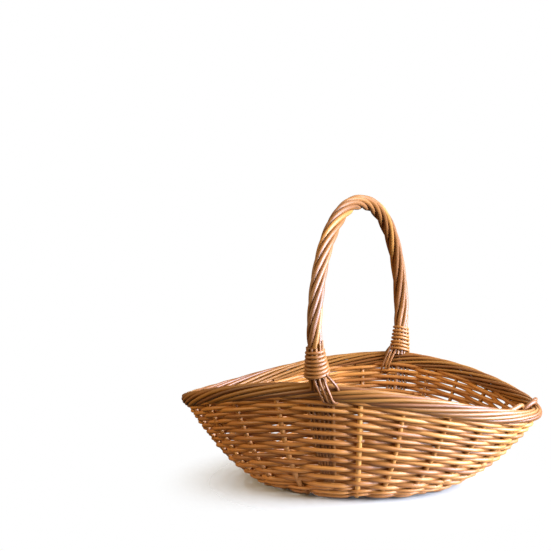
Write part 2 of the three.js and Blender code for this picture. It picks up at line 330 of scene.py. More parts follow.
def makeWallGuide(around=288, up=60):
    u = np.linspace(0, 1, around + 1)
    shares = np.linspace(0, 1, up + 1) * shareSpan - shareStart
    rows = np.stack([wallRow(place, shares) for place in u])
    return surfaceObject("wallGuide", rows, stakePlace(u))

wallGuide = makeWallGuide()
print("bowl surface ready")

# Node tree helpers

socketKinds = {int: "NodeSocketInt", float: "NodeSocketFloat"}

class Flow:
    # A value in a node tree: each sum written with it adds a maths node.
    def __init__(self, tree, socket):
        self.tree = tree
        self.socket = socket

    def math(self, operation, *others):
        return mathNode(self.tree, "ShaderNodeMath", operation, (self, *others), 0)

    def vector(self, operation, *others, result=0):
        return mathNode(self.tree, "ShaderNodeVectorMath", operation, (self, *others), result)

    def __add__(self, other):
        return self.math("ADD", other)

    def __sub__(self, other):
        return self.math("SUBTRACT", other)

    def __mul__(self, other):
        return self.math("MULTIPLY", other)

    def __truediv__(self, other):
        return self.math("DIVIDE", other)

def feed(tree, socket, value):
    if isinstance(value, Flow):
        value = value.socket
    if isinstance(value, bpy.types.NodeSocket):
        tree.links.new(value, socket)
    else:
        socket.default_value = value

def mathNode(tree, kind, operation, values, result):
    node = tree.nodes.new(kind)
    node.operation = operation
    for socket, value in zip(node.inputs, values):
        feed(tree, socket, value)
    return Flow(tree, node.outputs[result])

def put(tree, kind, inputs=None, output=0, **settings):
    node = tree.nodes.new(kind)
    for key, value in settings.items():
        setattr(node, key, value)
    for key, value in (inputs or {}).items():
        feed(tree, next(s for s in node.inputs if s.enabled and s.name == key), value)
    shown = [s for s in node.outputs if s.enabled]
    return Flow(tree, shown[output])

def startTree(name, sizes):
    # Each size becomes a named input of the tree, and comes back as a value to work with.
    tree = bpy.data.node_groups.new(name, "GeometryNodeTree")
    tree.is_modifier = True
    tree.interface.new_socket("Geometry", in_out="INPUT", socket_type="NodeSocketGeometry")
    for label, value in sizes.items():
        kind = socketKinds.get(type(value)) or f"NodeSocket{type(value).__name__}"
        tree.interface.new_socket(label, in_out="INPUT", socket_type=kind)
    tree.interface.new_socket("Geometry", in_out="OUTPUT", socket_type="NodeSocketGeometry")
    source = tree.nodes.new("NodeGroupInput")
    values = {s.name: Flow(tree, s) for s in source.outputs if s.name}
    return tree, values

def attribute(tree, name, kind="FLOAT_VECTOR"):
    return put(tree, "GeometryNodeInputNamedAttribute", {"Name": name}, data_type=kind)

def store(tree, geometry, name, value, kind="FLOAT", domain="POINT"):
    inputs = {"Geometry": geometry, "Name": name, "Value": value}
    return put(tree, "GeometryNodeStoreNamedAttribute", inputs, data_type=kind, domain=domain)

def combine(tree, x, y, z):
    return put(tree, "ShaderNodeCombineXYZ", {"X": x, "Y": y, "Z": z})

def separated(vector, axis):
    return put(vector.tree, "ShaderNodeSeparateXYZ", {"Vector": vector}, output=axis)

def unevenness(tree, x, y, z):
    # A smooth random value between about -0.5 and 0.5. Callers multiply the rod's number by a
    # few units, so that no two neighbours follow the same noise.
    place = combine(tree, x, y, z)
    fac = put(tree, "ShaderNodeTexNoise", {"Vector": place, "Scale": 1.0, "Detail": 1.0})
    return fac - 0.5

def randomOf(tree, number, seed, low=0.0, high=1.0):
    node = tree.nodes.new("FunctionNodeRandomValue")
    for key, value in (("Min", low), ("Max", high), ("ID", number), ("Seed", seed)):
        feed(tree, next(s for s in node.inputs if s.enabled and s.name == key), value)
    return Flow(tree, next(s for s in node.outputs if s.enabled))

def rodPoints(tree, rods, steps):
    # Points for a number of rods, with each one's rod number, step and share along the rod.
    points = put(tree, "GeometryNodePoints", {"Count": rods * steps})
    index = put(tree, "GeometryNodeInputIndex")
    rod = (index / steps).math("FLOOR")
    step = index - rod * steps
    return points, rod, step, step / (steps - 1)

def onSurface(tree, surface, u, share):
    # Where a place on a guide surface is, with its outward and uphill directions.
    sides = put(tree, "GeometryNodeObjectInfo", {"Object": surface}, output=4)
    seam = 0.0001  # keeps clear of the guide's first and last edge
    wrapped = u.math("FRACT").math("MAXIMUM", seam).math("MINIMUM", 1 - seam)
    place = combine(tree, wrapped, (share + shareStart) / shareSpan, 0.0)
    found = []
    for value, kind in (
        (put(tree, "GeometryNodeInputPosition"), "FLOAT_VECTOR"),
        (attribute(tree, "wallOut"), "FLOAT_VECTOR"),
        (attribute(tree, "wallUp"), "FLOAT_VECTOR"),
        (attribute(tree, "stakePlace", "FLOAT"), "FLOAT"),
    ):
        inputs = {"Mesh": sides, "Value": value, "UV Map": attribute(tree, "UVMap"), "Sample UV": place}
        found.append(put(tree, "GeometryNodeSampleUVSurface", inputs, data_type=kind))
    return found

def scaled(direction, length):
    node = direction.tree.nodes.new("ShaderNodeVectorMath")
    node.operation = "SCALE"
    feed(direction.tree, node.inputs[0], direction)
    feed(direction.tree, node.inputs["Scale"], length)
    return Flow(direction.tree, node.outputs[0])

def moved(point, *steps):
    # Moves a point by a length along each direction.
    for direction, length in steps:
        point = point.vector("ADD", scaled(direction, length))
    return point

def rodCurves(tree, points, place, rod, step, radius, tone):
    points = put(tree, "GeometryNodeSetPosition", {"Geometry": points, "Position": place})
    points = store(tree, points, "thickness", radius)
    points = store(tree, points, "tone", tone)
    inputs = {"Points": points, "Curve Group ID": rod, "Weight": step}
    return put(tree, "GeometryNodePointsToCurves", inputs)

def dressRods(tree, curves, sides, material):
    # Turns the curves into closed round rods that know the way along and round themselves.
    length = put(tree, "GeometryNodeSplineParameter", output=1)
    curves = store(tree, curves, "along", length)
    ring = put(tree, "GeometryNodeCurvePrimitiveCircle", {"Resolution": sides, "Radius": 1.0})
    ring = store(tree, ring, "cross", put(tree, "GeometryNodeInputPosition"), "FLOAT_VECTOR")
    inputs = {
        "Curve": curves,
        "Profile Curve": ring,
        "Scale": attribute(tree, "thickness", "FLOAT"),
        "Fill Caps": True,
    }
    mesh = put(tree, "GeometryNodeCurveToMesh", inputs)
    along = combine(tree, attribute(tree, "along", "FLOAT"), 0.0, 0.0)
    across = attribute(tree, "cross")
    turned = combine(tree, 0.0, separated(across, 0), separated(across, 1))
    mesh = store(tree, mesh, "grain", along.vector("ADD", turned), "FLOAT_VECTOR")
    mesh = put(tree, "GeometryNodeSetShadeSmooth", {"Geometry": mesh})
    mesh = put(tree, "GeometryNodeRealizeInstances", {"Geometry": mesh})
    mesh = put(tree, "GeometryNodeSetMaterial", {"Geometry": mesh, "Material": material})
    target = tree.nodes.new("NodeGroupOutput")
    tree.links.new(mesh.socket, target.inputs["Geometry"])

def madeBy(pieceName, tree, sizes, nodes, source=None):
    # Runs the tree on a carrier object, keeps the result as a plain mesh and lets the carrier go.
    carrier = bpy.data.objects.new(pieceName + "Carrier", source or bpy.data.meshes.new("carrier"))
    bpy.context.scene.collection.objects.link(carrier)
    modifier = carrier.modifiers.new("tree", "NODES")
    modifier.node_group = tree
    identifiers = {
        item.name: item.identifier
        for item in tree.interface.items_tree
        if item.item_type == "SOCKET" and item.in_out == "INPUT"
    }
    for label, value in sizes.items():
        modifier[identifiers[label]] = value
    carrier.update_tag()
    depsgraph = bpy.context.evaluated_depsgraph_get()
    mesh = bpy.data.meshes.new_from_object(carrier.evaluated_get(depsgraph), depsgraph=depsgraph)
    mesh.name = pieceName
    for spare in ("thickness", "along", "cross"):
        if spare in mesh.attributes:
            mesh.attributes.remove(mesh.attributes[spare])
    piece = bpy.data.objects.new(pieceName, mesh)
    bpy.context.scene.collection.objects.link(piece)
    bpy.data.objects.remove(carrier)
    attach(piece, "root")
    if nodes:
        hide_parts(*nodes)
    faces = sum(len(p.vertices) - 2 for p in mesh.polygons)
    print(f"{pieceName}: {faces} triangles")
    return piece

# Willow

willows = {
    "weaver_willow": {
        "shades": (
            (0.161, 0.046, 0.005), (0.268, 0.091, 0.013),
            (0.357, 0.132, 0.023), (0.438, 0.178, 0.030),
        ),
        "roughness": 0.54,
        "streaks": 0.42,
        "knots": 0.5,
    },
    # Painted highlight: the stake shades are a paler copy of the weaver's willow, standing in for the key
    # light that catches the stakes.
    "stake_willow": {
        "shades": (
            (0.220, 0.076, 0.013), (0.329, 0.124, 0.022),
            (0.416, 0.171, 0.032), (0.505, 0.228, 0.048),
        ),
        "roughness": 0.52,
        "streaks": 0.38,
        "knots": 0.5,
    },
    "border_willow": {
        "shades": (
            (0.100, 0.029, 0.004), (0.160, 0.050, 0.007),
            (0.209, 0.077, 0.010), (0.256, 0.104, 0.017),
        ),
        "roughness": 0.50,
        "streaks": 0.42,
        "knots": 0.6,
    },
    "handle_willow": {
        "shades": (
            (0.113, 0.033, 0.003), (0.160, 0.053, 0.005),
            (0.206, 0.074, 0.009), (0.250, 0.096, 0.012),
        ),
        "roughness": 0.54,
        "streaks": 0.38,
        "knots": 0.7,
    },
    "lapping_willow": {
        "shades": (
            (0.092, 0.025, 0.003), (0.146, 0.045, 0.005),
            (0.197, 0.065, 0.008), (0.253, 0.089, 0.011),
        ),
        "roughness": 0.52,
        "streaks": 0.42,
        "knots": 0.4,
    },
    "base_willow": {
        "shades": (
            (0.104, 0.032, 0.005), (0.169, 0.060, 0.010),
            (0.226, 0.088, 0.016), (0.278, 0.116, 0.023),
        ),
        "roughness": 0.56,
        "streaks": 0.42,
        "knots": 0.5,
    },
}

grainLook = {
    "streaks": (26.0, 2.6, 4.0),  # noise scale along the rod and round it, and its detail
    "clouds": (14.0, 0.55, 2.0),
    "scars": (17.0, 0.62),
    "rodSpread": 61.7,  # gives each rod its own stretch of the noise
    "toneShare": 0.62,  # what the rod as a whole and its clouds each do to the shade
    "cloudShare": 0.62,
    "shadeShift": 0.12,
    "stops": (0.10, 0.38, 0.64, 0.90),
    "streakDepth": 2.4,
    "roughnessSpread": 0.30,
    "scarDarkness": 0.8,
    "scarRelief": 0.8,
    "scarSize": (0.10, 0.24),
    "reliefStrength": 0.35,
    "reliefDepth": 0.0006,
    "ior": 1.48,
    "coat": 0.08,
    "coatRoughness": 0.42,
}

def makeWillow(name, finish):
    material = bpy.data.materials.new(name)
    material.use_nodes = True
    tree = material.node_tree
    shader = tree.nodes["Principled BSDF"]
    grain = put(tree, "ShaderNodeAttribute", attribute_name="grain", output=1)
    tone = put(tree, "ShaderNodeAttribute", attribute_name="tone", output=2)
    rodOffset = tone * grainLook["rodSpread"]

    def noiseAlong(alongScale, aroundScale, detail):
        scale = combine(tree, alongScale, aroundScale, aroundScale)
        inputs = {"Vector": grain.vector("MULTIPLY", scale), "W": rodOffset, "Scale": 1.0, "Detail": detail}
        return put(tree, "ShaderNodeTexNoise", inputs, noise_dimensions="4D")

    streak = noiseAlong(*grainLook["streaks"])
    cloud = noiseAlong(*grainLook["clouds"])
    shade = tone * grainLook["toneShare"] + cloud * grainLook["cloudShare"] - grainLook["shadeShift"]
    ramp = tree.nodes.new("ShaderNodeValToRGB")
    feed(tree, ramp.inputs["Fac"], shade)
    ramp.color_ramp.elements[0].position = grainLook["stops"][0]
    ramp.color_ramp.elements[1].position = grainLook["stops"][-1]
    for position in grainLook["stops"][1:-1]:
        ramp.color_ramp.elements.new(position)
    for element, colour in zip(ramp.color_ramp.elements, finish["shades"]):
        element.color = (*colour, 1)

    # Fine darker lines along the rod, and now and then a small brown bud scar.
    lines = (streak - 0.5).math("MULTIPLY_ADD", finish["streaks"] * grainLook["streakDepth"], 1.0)
    scarAlong, scarAround = grainLook["scars"]
    spots = combine(tree, scarAlong, scarAround, scarAround)
    inputs = {"Vector": grain.vector("MULTIPLY", spots), "W": rodOffset, "Scale": 1.0}
    scar = put(tree, "ShaderNodeTexVoronoi", inputs, voronoi_dimensions="4D")
    scarInner, scarOuter = grainLook["scarSize"]
    inputs = {"Value": scar, "From Min": scarInner, "From Max": scarOuter}
    inputs.update({"To Min": finish["knots"], "To Max": 0.0})
    scarMask = put(tree, "ShaderNodeMapRange", inputs)
    darker = scarMask * -grainLook["scarDarkness"] + 1.0
    tint = put(tree, "ShaderNodeVectorMath", operation="SCALE")
    feed(tree, tint.socket.node.inputs[0], ramp.outputs["Color"])
    feed(tree, tint.socket.node.inputs["Scale"], lines * darker)
    tree.links.new(tint.socket, shader.inputs["Base Color"])
    rough = (streak - 0.5).math("MULTIPLY_ADD", grainLook["roughnessSpread"], finish["roughness"])
    tree.links.new(rough.socket, shader.inputs["Roughness"])
    bump = tree.nodes.new("ShaderNodeBump")
    bump.inputs["Strength"].default_value = grainLook["reliefStrength"]
    bump.inputs["Distance"].default_value = grainLook["reliefDepth"]
    feed(tree, bump.inputs["Height"], streak + scarMask * grainLook["scarRelief"])
    tree.links.new(bump.outputs["Normal"], shader.inputs["Normal"])
    shader.inputs["IOR"].default_value = grainLook["ior"]
    shader.inputs["Coat Weight"].default_value = grainLook["coat"]
    shader.inputs["Coat Roughness"].default_value = grainLook["coatRoughness"]
    return material

willow = {name: makeWillow(name, finish) for name, finish in willows.items()}
print("willow finishes made")

# Weaving round a surface: one rod for each row, in front of and behind the stakes

def makeWeaveTree(sizes):
    tree, size = startTree("weaveRows", sizes)
    points, row, step, along = rodPoints(tree, size["rows"], size["steps"])
    start = row * size["startShift"] / float(bowl["stakes"])
    u = start + along * (size["overlap"] + 1.0)
    rise = (row + 0.5) / size["rows"]
    share = size["low"] + (size["high"] - size["low"]) * (rise + size["bow"] * rise * (rise * -1.0 + 1.0))
    odd = row.math("MODULO", 2.0) * -2.0 + 1.0
    share = share + odd * size["pairPull"]
    wave = unevenness(tree, u * size["waves"], row * 3.7, size["seed"])
    share = share + wave * size["unevenRows"]
    spot, out, up, passed = onSurface(tree, size["surface"], u, share)
    turn = (passed + row * size["rowShift"]) * (2 * math.pi) / size["period"]
    inner = unevenness(tree, u * size["bends"], row * 5.3, size["seed"] + 20.0)
    ends = (along - 0.5).math("ABSOLUTE") * 2.0
    tuck = put(
        tree,
        "ShaderNodeMapRange",
        {"Value": ends, "From Min": size["tuckFrom"], "From Max": 1.0, "To Min": 0.0, "To Max": size["tuck"]},
        interpolation_type="SMOOTHSTEP",
    )
    depth = turn.math("COSINE") * size["depth"] + inner * size["unevenDepth"] - tuck
    # On a leaning side a weaver goes round the stakes almost level, not square to the side.
    slope = separated(out, 2) * -1.0 / separated(up, 2)
    lean = slope.math("MINIMUM", size["steepest"]) * size["level"]
    lift = turn.math("SINE") * size["lift"] + depth * lean
    place = moved(spot, (out, depth), (up, lift))
    thick = randomOf(tree, row, 5, size["thinnest"], size["thickest"])
    thick = thick * (rise * -0.07 + 1.03)  # a little thinner towards the rim
    bulges = unevenness(tree, u * size["swells"], row * 2.1, 7.0)
    swell = bulges * size["swelling"] + 1.0
    radius = (size["butt"] + (size["tip"] - size["butt"]) * along) * thick * swell
    # Painted shade and dirt: the tone rises row by row, so the rows nearest the base are darker.
    tone = randomOf(tree, row, size["seed"], -0.1, 0.7) + rise * size["paintedShadeAndDirt"]
    curves = rodCurves(tree, points, place, row, step, radius, tone)
    dressRods(tree, curves, size["sides"], size["material"])
    return tree

sideWeave = {
    "surface": wallGuide,
    "rows": 22,
    "steps": 289,
    "startShift": 5.0,  # stakes between one row's start and the next one's
    "overlap": 0.012,
    "low": 0.128,
    "high": 0.955,
    "bow": 0.25,  # rows are wider apart near the base
    "level": 0.97,
    "steepest": 1.35,
    "waves": 9.0,  # noise scales round the bowl: rows rise and fall, rods bend, rods swell
    "bends": 14.0,
    "swells": 30.0,
    "swelling": 0.24,
    "thinnest": 0.88,
    "thickest": 1.12,
    "pairPull": 0.0016,
    "unevenRows": 0.013,
    "rowShift": 1.0,
    "period": 2.0,
    "depth": 0.0031,
    "lift": 0.0,
    "unevenDepth": 0.0016,
    "tuckFrom": 0.965,
    "tuck": 0.004,
    "butt": 0.0025,
    "tip": 0.00215,
    "paintedShadeAndDirt": 0.32,  # the rows get paler towards the rim: the lower rows are darker, partly painted shade where the lower wall faces down and partly dirt
    "sides": 9,
    "seed": 3,
    "material": willow["weaver_willow"],
}

def makeSideWeave():
    nodes = ["side_weave_lower", "side_weave_middle", "side_weave_upper"]
    madeBy("sideWeave", makeWeaveTree(sideWeave), sideWeave, nodes)

makeSideWeave()

upsett = dict(
    sideWeave,
    rows=7,
    low=0.0,
    high=0.125,
    bow=0.0,
    pairPull=0.0,
    unevenRows=0.004,
    rowShift=1.0,
    period=3.0,
    depth=0.0041,
    lift=0.0012,
    butt=0.0018,
    tip=0.0016,
    paintedShadeAndDirt=0.0,
    seed=11,
)

def makeUpsett():
    madeBy("upsettWale", makeWeaveTree(upsett), upsett, ["upsett_wale"])

makeUpsett()

# Rods that run up the surface: the side stakes and the handle's foot rods

def makeUprightTree(sizes):
    tree, size = startTree("uprightRods", sizes)
    points, rod, step, along = rodPoints(tree, size["rods"], size["steps"])
    # The places after the two gaps are numbered on, because the handle's feet stand in them.
    number = rod + rod.math("GREATER_THAN", size["firstGap"]) + rod.math("GREATER_THAN", size["nextGap"])
    u = number * size["spacing"] + size["first"]
    middle = (size["rods"] - 1) / 2.0
    fromMiddle = rod - middle
    low = size["low"] + fromMiddle.math("ABSOLUTE") * size["outerLow"]
    share = low + (size["high"] - low) * along
    spot, out, up, passed = onSurface(tree, size["surface"], u, share)
    side = up.vector("CROSS_PRODUCT", out)
    fan = size["fanLow"] + (size["fanHigh"] - size["fanLow"]) * share
    lean = unevenness(tree, rod * 7.1, along * size["leanScale"], size["seed"]) * size["lean"]
    waver = unevenness(tree, rod * 3.3, along * size["waverScale"], size["seed"] + 9.0) * size["waver"]
    place = moved(spot, (side, fromMiddle * fan + lean), (out, size["depth"] + waver))
    thick = randomOf(tree, rod, 8, size["thinnest"], size["thickest"])
    radius = (size["foot"] + (size["tip"] - size["foot"]) * along) * thick
    curves = rodCurves(tree, points, place, rod, step, radius, randomOf(tree, rod, size["seed"]))
    dressRods(tree, curves, size["sides"], size["material"])
    return tree

sideStakes = {
    "surface": wallGuide,
    "rods": 22,
    "steps": 40,
    "first": 0.0,
    "spacing": 1 / 24,
    "firstGap": 5.5,
    "nextGap": 16.5,
    "low": 0.0,
    "outerLow": 0.0,
    "high": 0.985,
    "fanLow": 0.0,
    "fanHigh": 0.0,
    "lean": 0.004,
    "leanScale": 1.4,
    "waver": 0.0006,
    "waverScale": 5.0,
    "thinnest": 0.92,
    "thickest": 1.08,
    "depth": 0.0014,
    "foot": 0.0026,
    "tip": 0.0023,
    "sides": 10,
    "seed": 21,
    "material": willow["stake_willow"],
}

def makeSideStakes():
    nodes = [f"side_stake_{i:02d}" for i in range(1, 23)]
    madeBy("sideStakes", makeUprightTree(sideStakes), sideStakes, nodes)

makeSideStakes()

noGap = 99.0  # past the last rod

footRods = dict(
    sideStakes,
    rods=6,
    spacing=0.0,
    firstGap=noGap,
    nextGap=noGap,
    low=0.09,
    outerLow=0.07,
    high=0.99,
    fanLow=0.0016,
    depth=0.0002,
    fanHigh=0.0054,
    lean=0.0016,
    waver=0.0010,
    foot=0.0017,
    tip=0.0019,
    seed=31,
    material=willow["handle_willow"],
)

def makeFootRods():
    for name, first in (("front", 0.25), ("rear", 0.75)):
        sizes = dict(footRods, first=first)
        nodes = [f"handle_foot_{name}_{i}" for i in range(1, 5)]
        madeBy(f"footRods_{name}", makeUprightTree(sizes), sizes, nodes)

makeFootRods()

# Rolled border: each stake's end is laid round the rim in one long turn

def makeBorderTree(sizes):
    tree, size = startTree("borderRods", sizes)
    points, rod, step, along = rodPoints(tree, size["rods"], size["steps"])
    u = rod / size["rods"] + along * size["reach"] / size["rods"]
    spot, out, up, passed = onSurface(tree, size["surface"], u, size["share"])
    turn = (along * size["turns"] + size["startTurn"]) * (2 * math.pi)
    wave = unevenness(tree, rod * 4.3, along * size["unevenScale"], size["seed"])
    wide = wave * size["uneven"] + 1.0
    ends = put(
        tree,
        "ShaderNodeMapRange",
        {
            "Value": along,
            "From Min": size["liftFrom"],
            "From Max": 1.0,
            "To Min": 0.0,
            "To Max": size["endLift"],
        },
        interpolation_type="SMOOTHSTEP",
    )
    # The border gets slimmer, from below, towards the two pointed ends.
    pointed = (u * (2 * math.pi)).math("COSINE").math("ABSOLUTE").math("POWER", size["pointed"])
    slim = pointed * (size["endSlim"] * -1.0) + 1.0
    outward = turn.math("COSINE") * wide * (size["halfThick"] + ends)
    upward = turn.math("SINE") * wide * (size["halfHeight"] + ends) * slim
    upward = upward + pointed * (size["endSlim"] * size["halfHeight"] + size["endRise"])
    place = moved(spot, (out, outward), (up, upward))
    thick = randomOf(tree, rod, 8, size["thinnest"], size["thickest"])
    radius = (size["butt"] + (size["tip"] - size["butt"]) * along) * thick * (slim * 0.5 + 0.5)
    curves = rodCurves(tree, points, place, rod, step, radius, randomOf(tree, rod, size["seed"]))
    dressRods(tree, curves, size["sides"], size["material"])
    return tree

rolledBorder = {
    "surface": wallGuide,
    "rods": 36,
    "steps": 72,
    "reach": 8.7,  # rod spacings that one rod covers
    "share": 1.0,
    "startTurn": -0.25,
    "turns": 1.0,
    "halfHeight": 0.0064,
    "halfThick": 0.0044,
    "uneven": 0.26,
    "unevenScale": 9.0,
    "thinnest": 0.94,
    "thickest": 1.06,
    "pointed": 14.0,
    "endSlim": 0.36,
    "endRise": 0.0015,
    "liftFrom": 0.93,
    "endLift": 0.0012,
    "butt": 0.0025,
    "tip": 0.0015,
    "sides": 12,
    "seed": 41,
    "material": willow["border_willow"],
}

def makeRolledBorder():
    tree = makeBorderTree(rolledBorder)
    madeBy("rolledBorder", tree, rolledBorder, ["rolled_border"])

makeRolledBorder()

# Handle: the bow, and rods wound round it

bow = {
    "radius": 0.0029,
    "footShare": 0.14,
    "tuckedIn": 0.0015,  # the bow's feet lie this far inside the weave
    "tuckShare": 0.3,  # and come out to the border over this share of the slope
    "spring": 0.163,
    "squareness": 2.16,
    "legPoints": 10,
    "archSteps": 40,
}

def bowLine():
    # Up inside the weave at the front, over the arch and down at the rear.
    halfWidth = bowBox[1].y - bow["radius"]
    top = bowBox[1].z - bow["radius"]
    offset = bowBox[1].x - bow["radius"]
    front = []
    for share in np.linspace(bow["footShare"], 1, bow["legPoints"]):
        inside = bow["tuckedIn"] * min(1, (1 - share) / bow["tuckShare"])
        front.append(wallPoint(0.25, share, -inside))
    arch = []
    for i in range(1, bow["archSteps"]):
        turn = math.pi * i / bow["archSteps"]
        y = -halfWidth * signedPower(math.cos(turn), 2 / bow["squareness"])
        z = bow["spring"] + (top - bow["spring"]) * math.sin(turn) ** (2 / bow["squareness"])
        arch.append(Vector((offset, y, z)))
    rear = [Vector((p.x, -p.y, p.z)) for p in reversed(front)]
    return front + arch + rear

def guideCurve(name, lines, smooth=8):
    # Smooth splines through lists of (point, radius).
    data = bpy.data.curves.new(name, "CURVE")
    data.dimensions = "3D"
    data.resolution_u = smooth
    for line in lines:
        spline = data.splines.new("BEZIER")
        spline.bezier_points.add(len(line) - 1)
        for knot, (point, radius) in zip(spline.bezier_points, line):
            knot.co = point
            knot.radius = radius
            knot.handle_left_type = knot.handle_right_type = "AUTO"
    return data

bowPoints = bowLine()
bowGuide = bpy.data.objects.new("bowGuide", guideCurve("bowGuide", [[(p, 1.0) for p in bowPoints]]))
bowLength = sum((b - a).length for a, b in zip(bowPoints, bowPoints[1:]))
legPoints = bowPoints[:bow["legPoints"]]
legStart = sum((b - a).length for a, b in zip(legPoints, legPoints[1:]))

def legShare(lift):
    # How far along the bow a place on its front leg is, this far above the middle of the border.
    return (legStart + lift) / bowLength

def makeWindingTree(sizes):
    tree, size = startTree("woundRods", sizes)
    points, rod, step, along = rodPoints(tree, size["rods"], size["steps"])
    path = put(tree, "GeometryNodeObjectInfo", {"Object": size["path"]}, output=4)
    end = size["end"] + randomOf(tree, rod, 13, -1.0, 1.0) * size["ragged"]
    factor = size["start"] + (end - size["start"]) * along
    slack = unevenness(tree, rod * 3.9, along * size["turns"] * size["layScale"], size["seed"])
    factor = factor + slack * size["unevenLay"]
    sample = tree.nodes.new("GeometryNodeSampleCurve")
    feed(tree, sample.inputs["Curves"], path)
    feed(tree, sample.inputs["Factor"], factor)
    middle = Flow(tree, sample.outputs["Position"])
    tangent = Flow(tree, sample.outputs["Tangent"])
    side = combine(tree, 1.0, 0.0, 0.0)
    other = tangent.vector("CROSS_PRODUCT", side).vector("NORMALIZE")
    side = other.vector("CROSS_PRODUCT", tangent).vector("NORMALIZE")
    slowing = along * size["slowing"]
    wound = along * (slowing * -0.5 + 1.0 + size["slowing"] * 0.5) * size["turns"]
    turn = (wound + rod / size["rods"] + size["phase"]) * (2 * math.pi)
    late = along.math("POWER", size["lateness"])
    reach = size["reachStart"] + (size["reachEnd"] - size["reachStart"]) * late
    bulge = unevenness(tree, rod * 6.1, along * size["turns"] * size["bulgeScale"], size["seed"] + 3.0)
    ends = (along - 0.5).math("ABSOLUTE") * 2.0
    squeeze = put(
        tree,
        "ShaderNodeMapRange",
        {
            "Value": ends,
            "From Min": size["squeezeFrom"],
            "From Max": size["squeezeFull"],
            "To Min": 1.0,
            "To Max": size["squeeze"],
        },
        interpolation_type="SMOOTHSTEP",
    )
    reach = (reach + bulge * size["uneven"]) * squeeze
    place = moved(middle, (side, turn.math("COSINE") * reach), (other, turn.math("SINE") * reach))
    thick = randomOf(tree, rod, 8, size["thinnest"], size["thickest"])
    radius = (size["rodStart"] + (size["rodEnd"] - size["rodStart"]) * late) * thick
    curves = rodCurves(tree, points, place, rod, step, radius, randomOf(tree, rod, size["seed"]))
    dressRods(tree, curves, size["sides"], size["material"])
    return tree

handleRoping = {
    "path": bowGuide,
    "rods": 6,
    "steps": 260,
    "start": legShare(0.010),
    "end": 1 - legShare(0.010),
    "ragged": 0.0,  # how unevenly the rods end
    "turns": 3.4,
    "slowing": 0.8,  # the rods lie steeper towards the rear foot
    "phase": 0.0,
    "squeeze": 0.72,  # how far the lapping pulls the rods together
    "squeezeFrom": 0.85,
    "squeezeFull": 0.92,
    "lateness": 1.7,  # the roping thickens late, towards the rear foot
    "reachStart": 0.00475,
    "reachEnd": 0.0062,
    "rodStart": 0.0025,
    "rodEnd": 0.0032,
    "thinnest": 0.94,
    "thickest": 1.04,
    "layScale": 1.3,
    "bulgeScale": 2.0,
    "unevenLay": 0.0,
    "uneven": 0.0005,
    "sides": 14,
    "seed": 52,
    "material": willow["handle_willow"],
}

def makeHandle():
    nodes = [f"handle_rope_{i}" for i in range(1, 7)]
    tree = makeWindingTree(handleRoping)
    madeBy("handleRoping", tree, handleRoping, nodes)
    core = dict(handleRoping, rods=1, steps=200, start=0.0, end=1.0, reachStart=0.0, reachEnd=0.0)
    core.update(rodStart=bow["radius"], rodEnd=bow["radius"], uneven=0.0, squeeze=1.0, seed=57)
    madeBy("handleBow", makeWindingTree(core), core, ["handle_bow"])

makeHandle()

lapping = dict(
    handleRoping,
    rods=1,
    steps=180,
    turns=7.0,
    slowing=0.0,
    squeeze=1.0,
    lateness=1.0,
    unevenLay=0.0026,
    uneven=0.0007,
    rodStart=0.0018,
    rodEnd=0.0016,
    sides=9,
    thinnest=1.0,
    material=willow["lapping_willow"],
)

pegs = dict(
    lapping,
    rods=11,
    steps=14,
    turns=0.0,
    unevenLay=0.0,
    uneven=0.0016,
    ragged=0.0045,
    reachStart=0.0072,
    rodStart=0.0018,
    rodEnd=0.0015,
    thinnest=0.85,
    material=willow["handle_willow"],
)

legEnds = {
    "front": {
        "side": 1,
        "low": 0.0165,
        "high": 0.0415,
        "pegsHigh": 0.0480,
        "wide": 0.0113,
        "narrow": 0.0079,
        "phase": 0.1,
        "seed": 61,
    },
    "rear": {
        "side": -1,
        "low": 0.0078,
        "high": 0.0395,
        "pegsHigh": 0.0370,
        "wide": 0.0112,
        "narrow": 0.0084,
        "phase": 0.6,
        "seed": 64,
    },
}
pegsLow = 0.004
pegsInside = 0.0007  # how far the pegs lie inside the lapping's narrow end

def legSizes(end, low, high):
    places = [legShare(low), legShare(high)]
    if end["side"] < 0:
        places = [1 - place for place in places]
    return {"start": places[0], "end": places[1], "phase": end["phase"], "seed": end["seed"]}

def makeLapping():
    for name, end in legEnds.items():
        sizes = dict(lapping, **legSizes(end, end["low"], end["high"]))
        sizes.update(reachStart=end["wide"], reachEnd=end["narrow"])
        tree = makeWindingTree(sizes)
        madeBy(f"lappingRod_{name}", tree, sizes, [f"lapping_{name}"])
        sizes = dict(pegs, **legSizes(end, pegsLow, end["pegsHigh"]))
        sizes.update(reachEnd=end["narrow"] - pegsInside)
        madeBy(f"legPegs_{name}", makeWindingTree(sizes), sizes, [])

makeLapping()

# Loose rod ends, each along its own guide

def makeLooseTree(sizes):
    tree, size = startTree("looseRods", sizes)
    radius = put(tree, "GeometryNodeInputRadius")
    number = put(tree, "GeometryNodeInputIndex")
    curves = put(tree, "GeometryNodeResampleCurve", {"Curve": size["Geometry"], "Count": size["steps"]})
    curves = store(tree, curves, "thickness", radius)
    curves = store(tree, curves, "tone", randomOf(tree, number, size["seed"]), domain="CURVE")
    dressRods(tree, curves, size["sides"], size["material"])
    return tree

looseRods = {"steps": 24, "sides": 9, "seed": 71, "material": willow["lapping_willow"]}

tails = {"count": 3, "spacing": 0.0048, "radius": 0.0014}

